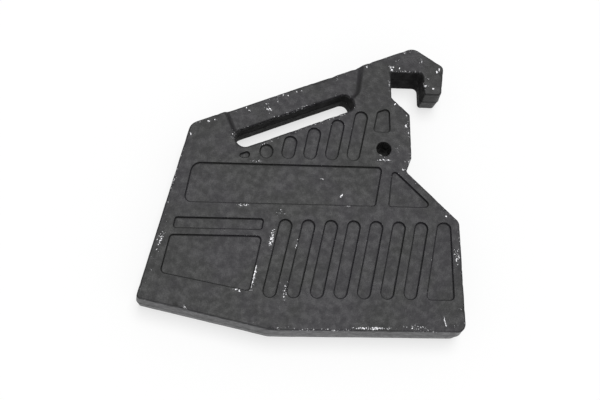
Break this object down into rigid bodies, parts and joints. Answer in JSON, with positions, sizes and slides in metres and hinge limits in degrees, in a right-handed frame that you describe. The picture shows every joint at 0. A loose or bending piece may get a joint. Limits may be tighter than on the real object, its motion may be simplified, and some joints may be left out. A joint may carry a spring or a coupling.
{
  "type": "tractor suitcase weight",
  "caption": "Cast iron suitcase weight for a tractor: a slab with a hook and its notch, a grip slot, a rod hole and a face of shallow ribs and bare panels.",
  "frame": {"origin": "middle of the underside of the box round the casting, which lies on its flat back", "axes": "+X along the length towards the hook's side, +Y from the foot up to the hook, +Z out of the relief face"},
  "size_m": [0.44, 0.415, 0.052],
  "materials": {
    "black_casting": "satin black paint over rough cast iron, chipped at the edges"
  },
  "bodies": {
    "root": {"suitcase_weight": "black_casting"}
  },
  "joints": []
}
